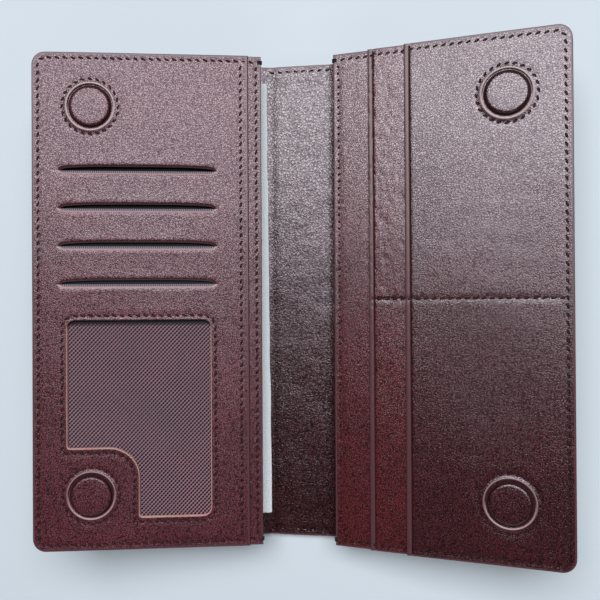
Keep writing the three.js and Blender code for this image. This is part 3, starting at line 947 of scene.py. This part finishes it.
def add_block_threads(half, place, height, fold_edge, perimeter, seams):
    """The perimeter's thread, which also shows outside the cover, and that of the block's other seams."""
    body, cover = f"{half}_half", half_place(half)
    paths = stitches(perimeter, height)
    for y in (SEAM_ROW, -SEAM_ROW):
        paths += edge_wraps(y, *fold_edge)
    paths = as_seen_from(place, cover, paths)
    outside = extent(f"outer_cover_{half}", cover)[0][2] + THREAD_OUTSIDE
    paths += stitches(cover_rows(half)[0], lambda x, _: np.full_like(x, outside), sign=-1)
    add_thread(f"perimeter_{half}", cover, paths, body)
    for seam, stitched in seams.items():
        add_thread(seam, place, stitched, body)


# ---- Cover and lining ---------------------------------------------------------------


def spine_rows():
    """Half of each row across an end of the spine, in one fold line's coordinates."""
    start = -SPINE_HALF + SPINE_PITCH / 2
    return [Row(np.array([[start, y], [-0.6, y]]), SPINE_PITCH) for y in (SEAM_ROW, -SEAM_ROW)]


def cover_rows(half):
    """The stitching that shows on the outside of one half of the cover."""
    line = perimeter_line(FOLD_MARGIN + 1.0, COVER_WIDTH[half])
    return [Row(line, STITCH_PITCH)] + spine_rows()


def make_cover(half):
    """The outer leather of one half, on over the fold to the middle of the spine."""
    side = SIDE[half]
    low, high = extent(f"outer_cover_{half}", half_place(half))
    rows = cover_rows(half)
    dip = seam_dip(rows)
    fold = fold_place(half)

    def put(points):
        turned = np.array(points, float)
        turned[:, 2] = -turned[:, 2]
        return fold(turned)

    def relief(x, y):
        across = side * (SPINE_HALF + x)
        return 0.07 * ripple(across, y, 40, 5) + 0.012 * ripple(across, y, 11, 6) + dip(x, y) - 0.12

    zones = [(-SPINE_HALF - 2, 8, 1.0), (8, COVER_WIDTH[half], 1.7)]
    cover = leather_sheet(f"cover_leather_{half}", put, [COVER_LEATHER, EDGE_PAINT], -high[2], -low[2],
                          leaf(-SPINE_HALF - 2, COVER_WIDTH[half]), LEAF_EDGE, relief, zones=zones,
                          rows=rows, trim=-SPINE_HALF, same_back=True)
    cross_fold(cover, half)
    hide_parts(f"outer_cover_{half}", "outer_cover_spine")


def cross_fold(piece, half):
    """Bakes the piece's placing into its points. The ends of the bend are worked out but not used."""
    start, end = spine_place(half)([[BEND, 0, 0], [-BEND, 0, 0]])
    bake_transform(piece)


def make_lining(half):
    """The pebbled lining of one half, on over the fold to the middle of the spine."""
    side = SIDE[half]
    low, high = extent(f"lining_{half}", half_place(half))
    rows = spine_rows()
    dip = seam_dip(rows)

    def relief(x, y):
        across = side * (SPINE_HALF + x)
        waves = 0.06 * ripple(across, y, 26, 11) + 0.015 * ripple(across, y, 8, 12)
        on_spine = 1 - smooth(x, -3.5, -1.0)
        end_bulge = 0.12 * smooth(np.abs(y), SEAM_ROW - 6, SEAM_ROW - 2) * on_spine
        return waves + dip(x, y) + end_bulge - 0.1

    zones = [(-SPINE_HALF - 2, 7, 0.95), (7, 20, 3.0), (20, COVER_WIDTH[half], COARSE)]
    lining = leather_sheet(f"lining_leather_{half}", fold_place(half), [LINING_LEATHER, EDGE_PAINT], low[2],
                           high[2], leaf(-SPINE_HALF - 2, COVER_WIDTH[half]), THIN_EDGE, relief, zones=zones,
                           rows=rows, trim=-SPINE_HALF, same_back=True)
    cross_fold(lining, half)
    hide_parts(f"lining_{half}", "lining_spine")


def add_spine_seams():
    """The stitches across both ends of the spine, inside and outside."""
    middle = placing((0, 0, JOINT["left_half"]["pos_m"][2]), (1, 0, 0), (0, 0, 1))
    bottom = extent("outer_cover_spine", middle)[0][2]
    for end, y in (("top", SEAM_ROW), ("bottom", -SEAM_ROW)):
        reach = SPINE_HALF - 0.6
        row = Row(np.array([[-reach, y], [reach, y]]), SPINE_PITCH)
        paths = stitches(row, lambda x, _: np.full_like(x, -0.1))
        paths += stitches(row, lambda x, _: np.full_like(x, bottom + THREAD_OUTSIDE), sign=-1, rise=-0.2)
        add_thread(f"spine_{end}", middle, paths, "spine")


# ---- Left block ---------------------------------------------------------------------

LEFT_SNAPS = snap_places("left", LEFT)
CARD_LOW, CARD_HIGH = extent("card_panel_left", LEFT)
POCKETS = [extent(f"card_pocket_{k}", LEFT) for k in (1, 2, 3, 4)]
MESH_LOW, MESH_HIGH = extent("window_mesh", LEFT)


def window_outline(grow=0.0):
    """The window, with the tab that steps into its lower outer corner."""
    inner = MESH_LOW[0] + MESH_MARGIN - grow
    outer = MESH_HIGH[0] - MESH_MARGIN + grow
    bottom = MESH_LOW[1] + MESH_MARGIN - grow
    top = MESH_HIGH[1] - MESH_MARGIN + grow
    radius = WINDOW_RADIUS + grow
    return rounded([
        (inner, top, radius), (outer, top, radius), (outer, TAB_TOP - grow, 1.0),
        (TAB_IN + grow, TAB_TOP - grow, TAB_RADIUS - grow), (TAB_IN + grow, bottom, 1.0),
        (inner, bottom, radius),
    ])


def slot_outline(pocket):
    """A card slot: a nearly straight lower lip and an upper lip that arches a little."""
    start = pocket[0][0] + SLOT_SIDE
    end = pocket[1][0] - SLOT_SIDE
    middle = pocket[1][1] - SLOT_HEADROOM
    share = np.linspace(0, 1, 60)
    taper = np.sqrt(np.clip(1 - np.abs(2 * share - 1) ** 40, 0, 1))
    lower = middle - SLOT_OPENING / 2 * taper
    upper = middle + (SLOT_OPENING / 2 + SLOT_ARCH * (1 - np.abs(2 * share - 1) ** 4)) * taper
    x = start + (end - start) * share
    return np.vstack([np.column_stack([x, lower]), np.column_stack([x, upper])[::-1][1:-1]])


def left_rows():
    perimeter = Row(perimeter_line(ROW_START, BLOCK_WIDTH["left"]), STITCH_PITCH)
    fold_edge = straight_row("seam_fold_edge_left", LEFT, STITCH_PITCH)
    card_edge = straight_row("seam_card_panel_edge", LEFT, STITCH_PITCH)
    window = Row(evenly(window_outline(WINDOW_SEAM), 0.4), STITCH_PITCH, closed=True)
    rings = [snap_row(x, y) for _, x, y, _ in LEFT_SNAPS]
    return perimeter, fold_edge, card_edge, window, rings


def make_card_panel(rows):
    """The card panel, with its slots, its window and the snaps' cut-outs."""
    perimeter, _, card_edge, window, rings = rows
    through = [perimeter, card_edge, window] + rings
    dip = seam_dip(through)
    slots = [slot_outline(pocket) for pocket in POCKETS]
    holes = [(slot, SLOT_EDGE) for slot in slots]
    holes.append((evenly(window_outline(), 0.8), WINDOW_EDGE))
    holes += [(circle(x, y, SNAP_HOLE), SNAP_EDGE) for _, x, y, _ in LEFT_SNAPS]

    def relief(x, y):
        height = 0.07 * ripple(x, y, 42, 21) + 0.012 * ripple(x, y, 12, 22) + dip(x, y)
        for slot in slots:
            start, end = slot[:, 0].min(), slot[:, 0].max()
            middle = slot[:, 1].min() + SLOT_OPENING / 2
            arch = np.clip(np.sin(math.pi * np.clip((x - start) / (end - start), 0, 1)), 0, 1) ** 0.5
            above = np.exp(-np.abs(y - middle - SLOT_OPENING / 2) / 2.4) * (y > middle)
            below = np.exp(-np.abs(y - middle + SLOT_OPENING / 2) / 1.6) * (y <= middle)
            height = height + arch * (0.34 * above + 0.06 * below)
        return height + snap_rim(x, y, LEFT_SNAPS) - 0.05

    panel = leather_sheet("card_panel_leather", LEFT, [PANEL_LEATHER, EDGE_PAINT, RAW_EDGE_AND_SHADE, LIP_LIGHT_AND_SHADE],
                          CARD_LOW[2], CARD_HIGH[2], leaf(CARD_LOW[0], CARD_HIGH[0]), LEAF_EDGE, relief,
                          holes=holes, rows=through)
    dress(panel, "left_half", "leather", "card_panel_left")


def make_back_panel(rows):
    """The panel behind the card pockets, raised to a shelf under the card panel's edge."""
    perimeter, fold_edge, _, _, _ = rows
    low, high = extent("back_panel_left", LEFT)
    thickness = 0.8
    shelf = high[2] - thickness
    dip = seam_dip([fold_edge, perimeter])

    def lift(x, _):
        return shelf * (1 - smooth(x, 9.6, 14.2))

    def relief(x, y):
        return 0.03 * ripple(x, y, 22, 31) + dip(x, y) - 0.03

    zones = [(0, 6.5, 1.0), (6.5, 16, 1.4), (16, high[0], COARSE)]
    panel = leather_sheet("back_panel_leather", LEFT, [PANEL_LEATHER, EDGE_PAINT], low[2], thickness,
                          leaf(0, high[0]), THIN_EDGE, relief, zones=zones, rows=[fold_edge, perimeter],
                          lift=lift, same_back=True)
    dress(panel, "left_half", "leather", "back_panel_left")
    return shelf + thickness


def make_pockets():
    """Each card pocket: twill folded double, its front edge rising behind the slot's lower lip."""
    for k, (low, high) in enumerate(POCKETS, 1):
        thickness = 0.09
        back, front = low[2] + thickness / 2, high[2] - thickness / 2 + 0.02
        slot = high[1] - SLOT_HEADROOM
        lip = slot - SLOT_OPENING / 2
        under = CARD_LOW[2] - 0.1
        section = [(high[1], back), (slot, back), (lip - 12, back), (low[1] + 0.3, back)]
        section += [(low[1] + 0.05, (back + front) / 2), (low[1] + 0.3, front)]
        section += [(lip - 9, front), (lip - 4, front), (lip - 1.4, front + 0.55 * (under - front))]
        section += [(lip - 0.2, under), (lip + 0.25, under + 0.25)]
        section += [(lip + 0.55, under + 0.15), (lip + 0.70, under - 0.15)]
        # the pocket's back, seen through the slot, wears the near-black cloth of painted shade
        pocket = ribbon(f"card_pocket_cloth_{k}", LEFT, section, low[0], high[0], thickness,
                        [TWILL, SHADE_CLOTH], first=7)
        dress(pocket, "left_half", "twill_lining", f"card_pocket_{k}")


def make_backing():
    """The lining cloth between the pockets and the back panel."""
    low, high = extent("backing_lining_left", LEFT)
    middle = (low[2] + high[2]) / 2
    section = [(y, middle) for y in np.linspace(low[1], high[1], 12)]
    # it wears the near-black cloth of painted shade, so that the mesh's openings read dark
    cloth = ribbon("backing_lining_cloth", LEFT, section, low[0], high[0], high[2] - low[2], [SHADE_CLOTH])
    dress(cloth, "left_half", "twill_lining", "backing_lining_left")


def mesh_centres(outline, low, high):
    """The middles of the mesh's openings, in staggered rows inside the outline."""
    rows = math.ceil((high[1] - low[1]) / MESH_ROW)
    columns = math.ceil((high[0] - low[0]) / MESH_ACROSS)
    centres = np.array([
        (low[0] + MESH_ACROSS * (column + 0.5 * (row % 2)), low[1] + MESH_ROW * row)
        for row in range(rows) for column in range(columns)
    ])
    return centres[inside(centres, outline) & (centres[:, 1] + MESH_ROW < high[1])]


def mesh_shapes():
    """A diamond cell, whose sides are the yarn, its slanted opening and the rise of the yarn.

    The yarn that climbs towards the spine lies on top.
    """
    turn = np.arange(8) * math.tau / 8
    sides = np.maximum(np.abs(np.cos(turn)) + np.abs(np.sin(turn)), 1)
    cell = np.column_stack([MESH_ACROSS / 2 * np.cos(turn) / sides, MESH_ROW * np.sin(turn) / sides])
    slant = math.radians(-48)
    along = np.array([math.cos(slant), math.sin(slant)])
    beside = np.array([-along[1], along[0]])
    opening = np.outer(0.54 * np.cos(turn - slant), along) + np.outer(0.38 * np.sin(turn - slant), beside)
    rise = np.array([0.02, -0.06, 0.02, 0.13, 0.02, -0.06, 0.02, 0.13])
    return cell, opening, rise


def make_window_mesh():
    """The window's mesh: slanted openings in staggered rows, with raised yarn between them."""
    outline = window_outline(MESH_MARGIN - 0.9)
    low, high = outline.min(axis=0), outline.max(axis=0)
    high[1] = MESH_HIGH[1] - MESH_MARGIN - MESH_GAP
    cell, opening, rise = mesh_shapes()
    base = (MESH_LOW[2] + MESH_HIGH[2]) / 2
    index, points, faces = {}, [], []

    def point(x, y, z):
        key = (round(x * 40), round(y * 40), round(z * 40))
        if key not in index:
            index[key] = len(points)
            points.append((x, y, z))
        return index[key]

    for centre in mesh_centres(outline, low, high):
        rings = []
        for share, fall in ((0.0, 0.0), (0.5, 0.05), (1.0, 0.22)):
            ring = centre + (1 - share) * cell + share * opening
            heights = base + (1 - share) * rise - fall
            rings.append([point(x, y, z) for (x, y), z in zip(ring, heights)])
        for outer, inner in zip(rings, rings[1:]):
            faces += [(outer[k], outer[(k + 1) % 8], inner[(k + 1) % 8], inner[k]) for k in range(8)]
    cloth = make_object("window_mesh_cloth", LEFT(np.array(points)), faces, [MESH_YARN], sharp=180)
    dress(cloth, "left_half", "window_mesh", "window_mesh")


def left_step(shelf):
    """The height of the left block's stitched surface, with its step up to the card panel."""
    return lambda x, _: np.where(x < CARD_LOW[0] + STEP_BACK, shelf, CARD_HIGH[2])


def edge_wraps(y, top, bottom):
    """Thread wound over a block's fold edge where its perimeter stitching starts."""
    paths = []
    for offset in (-0.5, 0.0, 0.5):
        turns = np.linspace(-0.15, 1.15, 11) * math.pi
        middle, radius = (top + bottom) / 2, (top - bottom) / 2 + 0.22
        x = ROW_START - np.sin(turns) * (ROW_START + WRAP_OUT)
        z = middle + np.cos(turns) * radius
        paths.append(np.column_stack([x, np.full_like(x, y + offset), z]))
    return paths


def add_left_threads(rows, shelf):
    perimeter, fold_edge, card_edge, window, rings = rows
    step = left_step(shelf)
    seams = {"fold_edge_left": fold_edge, "card_panel_edge": card_edge, "window": window}
    seams |= {f"snap_left_{end}": ring for (end, *_), ring in zip(LEFT_SNAPS, rings)}
    seams = {seam: stitches(row, step) for seam, row in seams.items()}
    add_block_threads("left", LEFT, step, (shelf, shelf - 0.8), perimeter, seams)


def as_seen_from(place, other, paths):
    """Paths on one place's plane, in another place's flat coordinates."""
    base = other(np.zeros((1, 3)))[0]
    back = np.linalg.inv(other(np.eye(3)) - base)
    return [(place(path) - base) @ back for path in paths]


# ---- Right block --------------------------------------------------------------------

RIGHT_SNAPS = snap_places("right", RIGHT)
BASE = extent("base_panel_right", RIGHT)
POCKET_1 = extent("pocket_layer_1", RIGHT)
POCKET_2 = extent("pocket_layer_2", RIGHT)


def right_rows():
    perimeter = Row(perimeter_line(ROW_START, BLOCK_WIDTH["right"]), STITCH_PITCH)
    fold_edge = straight_row("seam_fold_edge_right", RIGHT, FOLD_PITCH, slant=0, long=0.42)
    start = POCKET_1[0][0] + 1.2
    end = BLOCK_WIDTH["right"] - SEAM_INSET - 1.6
    tack_end = POCKET_2[0][0] + 1.0
    divider = Row(np.array([[start, 0], [end, 0]]), STITCH_PITCH, slant=12)
    tack = Row(np.array([[start, 0.75], [tack_end, 0.75]]), STITCH_PITCH, slant=12)
    rings = [snap_row(x, y) for _, x, y, _ in RIGHT_SNAPS]
    return perimeter, fold_edge, divider, tack, rings


def crease(x, start, depth=0.26, width=0.30):
    """The groove creased beside a pocket's edge, with the edge left standing a little."""
    groove = -depth * np.exp(-(((x - start - CREASE_INSET) / width) ** 2))
    return groove + 0.10 * np.exp(-(((x - start - 0.95) / 0.6) ** 2))


def make_pocket_sheet(name, node, leather, low, high, start, zones, rows, relief, holes=(), creased=True):
    """One leaf of the right block."""
    end = HALF_LENGTH - 0.8
    lines = strip(start + CREASE_INSET, -end, end, (-0.6, -0.35, -0.15, 0, 0.15, 0.35, 0.6), step=0.5)
    shape = (lambda x, y: relief(x, y) + crease(x, start)) if creased else relief
    groove = (start + CREASE_INSET - CREASE_HALF, start + CREASE_INSET + CREASE_HALF)
    # the strip before the crease wears the edge finish, and the crease's groove wears its painted shade
    bands = ((-1.0, groove[0], 1), (*groove, 4)) if creased else ()
    panel = leather_sheet(name, RIGHT, [leather, EDGE_PAINT, RAW_EDGE_AND_SHADE, LIP_LIGHT_AND_SHADE, CREASE_SHADE], low, high,
                          leaf(start, BLOCK_WIDTH["right"]), THIN_EDGE, shape, holes=holes, zones=zones,
                          rows=rows, lines=lines if creased else None, bands=bands)
    dress(panel, "right_half", "leather", node)


def make_right_block(rows):
    """The base panel and the two pocket leaves that lie on it."""
    perimeter, fold_edge, divider, tack, rings = rows
    width = BLOCK_WIDTH["right"]
    first, second = POCKET_1[0][0], POCKET_2[0][0]
    base_dip = seam_dip([fold_edge, perimeter])
    pocket_dip = seam_dip([perimeter, divider])
    top_dip = seam_dip([perimeter, divider] + rings)

    make_pocket_sheet(
        "base_panel_leather", "base_panel_right", STRIP_LEATHER, BASE[0][2], BASE[1][2], 0.0,
        [(0, first + 2, GRID), (first + 2, width, COARSE)], [fold_edge, perimeter],
        lambda x, y: 0.03 * ripple(x, y, 24, 41) + base_dip(x, y) - 0.04, creased=False)

    def wrinkles(x, y):
        folds = np.abs(ripple(x * 1.6, y * 0.55, 7.5, 51, 9))
        return -0.10 * np.exp(-((folds / 0.22) ** 2)) * smooth(y, -75, 20)

    make_pocket_sheet(
        "pocket_leather_1", "pocket_layer_1", STRIP_LEATHER, POCKET_1[0][2], POCKET_1[1][2], first,
        [(first, second + 2, 0.85), (second + 2, width, COARSE)], [perimeter, divider, tack],
        lambda x, y: 0.03 * ripple(x, y, 20, 52) + wrinkles(x, y) + pocket_dip(x, y) - 0.04)

    holes = [(circle(x, y, SNAP_HOLE), SNAP_EDGE) for _, x, y, _ in RIGHT_SNAPS]
    make_pocket_sheet(
        "pocket_leather_2", "pocket_layer_2", POCKET_LEATHER, POCKET_2[0][2], POCKET_2[1][2], second,
        [(second, width, GRID)], [perimeter, divider] + rings,
        lambda x, y: (0.08 * ripple(x, y, 44, 61) + 0.012 * ripple(x, y, 12, 62) + top_dip(x, y)
                      + snap_rim(x, y, RIGHT_SNAPS) - 0.06),
        holes=holes)


def right_step(x, _):
    """The height of the right block's stitched surface, over its two steps."""
    lower = np.where(x < POCKET_1[0][0] + STEP_BACK, BASE[1][2], POCKET_1[1][2])
    return np.where(x < POCKET_2[0][0] + STEP_BACK, lower, POCKET_2[1][2])


def add_right_threads(rows):
    perimeter, fold_edge, divider, tack, rings = rows
    seams = {
        "fold_edge_right": stitches(fold_edge, right_step, rise=0.16),
        "divider": stitches(divider, right_step) + stitches(tack, right_step),
    }
    seams |= {f"snap_right_{end}": stitches(ring, right_step) for (end, *_), ring in zip(RIGHT_SNAPS, rings)}
    add_block_threads("right", RIGHT, right_step, (BASE[1][2], BASE[0][2]), perimeter, seams)


# ---- Packing sheet ------------------------------------------------------------------


def make_packing_sheet():
    """The pale packing sheet on the left lining, with worn, uneven ends."""
    place = half_place("left")
    low, high = extent("packing_sheet", place)
    corner = corners("packing_sheet", place)
    outline = evenly(rounded([(x, y, 0.3) for x, y in corner]), 0.9)
    x, y = outline[:, 0], outline[:, 1]
    ragged = 0.55 * ripple(x, y, 2.6, 71) + 0.35 * ripple(x, y, 9.0, 72)
    at_end = np.minimum(np.abs(y - low[1]), np.abs(y - high[1])) < 3
    centre = (low[:2] + high[:2]) / 2
    inward = np.sign(centre - outline)
    outline = outline + inward * np.column_stack([0.12 * (1 + ripple(y, y, 30, 73)),
                                                   at_end * (0.3 + 0.7 * ragged)])
    sheet = leather_sheet("packing_foam_sheet", place, [PACKING], low[2], high[2], outline, round_edge(0.3),
                          lambda a, b: 0.05 * ripple(a, b, 5, 74) + 0.08 * ripple(a, b, 30, 75) - 0.1,
                          zones=[(low[0], 14, 1.2), (14, high[0], COARSE)])
    dress(sheet, "packing_sheet", "packing_sheet", "packing_sheet")


# ---- Hidden parts, floor, light and camera ------------------------------------------


def finish_hidden_nodes():
    """Boards and metal discs inside the leather keep their CAD shapes and get real finishes."""
    finishes = {"stiffener": (BOARD, "stiffener_board"), "magnet": (METAL, "snap_metal"),
                "keeper": (METAL, "snap_metal")}
    for name, node in frame["nodes"].items():
        for start, (material, slot) in finishes.items():
            if name.startswith(start):
                node.data.materials.clear()
                node.data.materials.append(material)


FLOOR_REACH = 3.0  # metres
FLOOR_GAP = 0.0003  # metres, under the wallet
WINDOW_POWER = 57.0
FRONT_POWER = 4.5
ROOM_STRENGTH = 0.022
DAYLIGHT = (0.93, 0.97, 1.0)
CAMERA_PLACE = (0.03664, -0.00162, 0.2631)
CAMERA_LEAN = 8.06  # degrees
CAMERA_PITCH = -0.35
CAMERA_ROLL = 0.33
FOCAL_LENGTH = 39.0


def make_floor():
    mesh = bpy.data.meshes.new("floor")
    reach = FLOOR_REACH
    corners_xy = [(-reach, -reach), (reach, -reach), (reach, reach), (-reach, reach)]
    mesh.from_pydata([(x, y, 0) for x, y in corners_xy], [], [(0, 1, 2, 3)])
    mesh.materials.append(floor_material())
    floor = bpy.data.objects.new("floor", mesh)
    floor.location.z = CAD_BOX[0][2] - FLOOR_GAP
    bpy.context.scene.collection.objects.link(floor)


def add_light(name, place, size, power, tint):
    """A soft rectangular light, aimed at the wallet."""
    lamp = bpy.data.lights.new(name, "AREA")
    lamp.shape = "RECTANGLE"
    lamp.size, lamp.size_y = size
    lamp.energy = power
    lamp.color = tint
    light = bpy.data.objects.new(name, lamp)
    light.location = place
    light.rotation_euler = (-Vector(place)).to_track_quat("-Z", "Y").to_euler()
    bpy.context.scene.collection.objects.link(light)


def light_scene():
    add_light("window_light", (0.13, 0.85, 1.81), (2.2, 1.35), WINDOW_POWER, DAYLIGHT)
    add_light("front_light", (0.0, -1.70, 0.90), (2.2, 0.8), FRONT_POWER, DAYLIGHT)
    world = bpy.data.worlds.new("soft_room")
    world.use_nodes = True
    background = world.node_tree.nodes["Background"]
    background.inputs["Color"].default_value = (0.86, 0.93, 1.0, 1.0)
    background.inputs["Strength"].default_value = ROOM_STRENGTH
    bpy.context.scene.world = world
    bpy.context.scene.view_settings.view_transform = "Standard"


def add_camera():
    """A camera above the wallet, leaning over its right half."""
    lean, pitch, roll = (math.radians(turn) for turn in (CAMERA_LEAN, CAMERA_PITCH, CAMERA_ROLL))
    right = Vector((math.cos(lean), 0, -math.sin(lean)))
    back = Vector((math.sin(lean), 0, math.cos(lean)))
    up = Vector((0, 1, 0))
    up, back = math.cos(pitch) * up - math.sin(pitch) * back, math.sin(pitch) * up + math.cos(pitch) * back
    right, up = math.cos(roll) * right - math.sin(roll) * up, math.sin(roll) * right + math.cos(roll) * up
    lens = bpy.data.cameras.new("camera")
    lens.sensor_width = 36.0
    lens.lens = FOCAL_LENGTH
    lens.clip_start = 0.01
    camera = bpy.data.objects.new("camera", lens)
    turned = Matrix((right, up, back)).transposed().to_4x4()
    camera.matrix_world = Matrix.Translation(CAMERA_PLACE) @ turned
    bpy.context.scene.collection.objects.link(camera)
    bpy.context.scene.camera = camera


# ---- The wallet ---------------------------------------------------------------------

add_camera()
light_scene()
make_floor()

for half in SIDE:
    make_cover(half)
    make_lining(half)
add_spine_seams()

left = left_rows()
make_card_panel(left)
shelf_top = make_back_panel(left)
make_backing()
make_pockets()
make_window_mesh()
add_snaps("left", LEFT, LEFT_SNAPS, PANEL_LEATHER, 0.4)
add_left_threads(left, shelf_top)

right = right_rows()
make_right_block(right)
add_snaps("right", RIGHT, RIGHT_SNAPS, POCKET_LEATHER, 0.3)
add_right_threads(right)

make_packing_sheet()
finish_hidden_nodes()
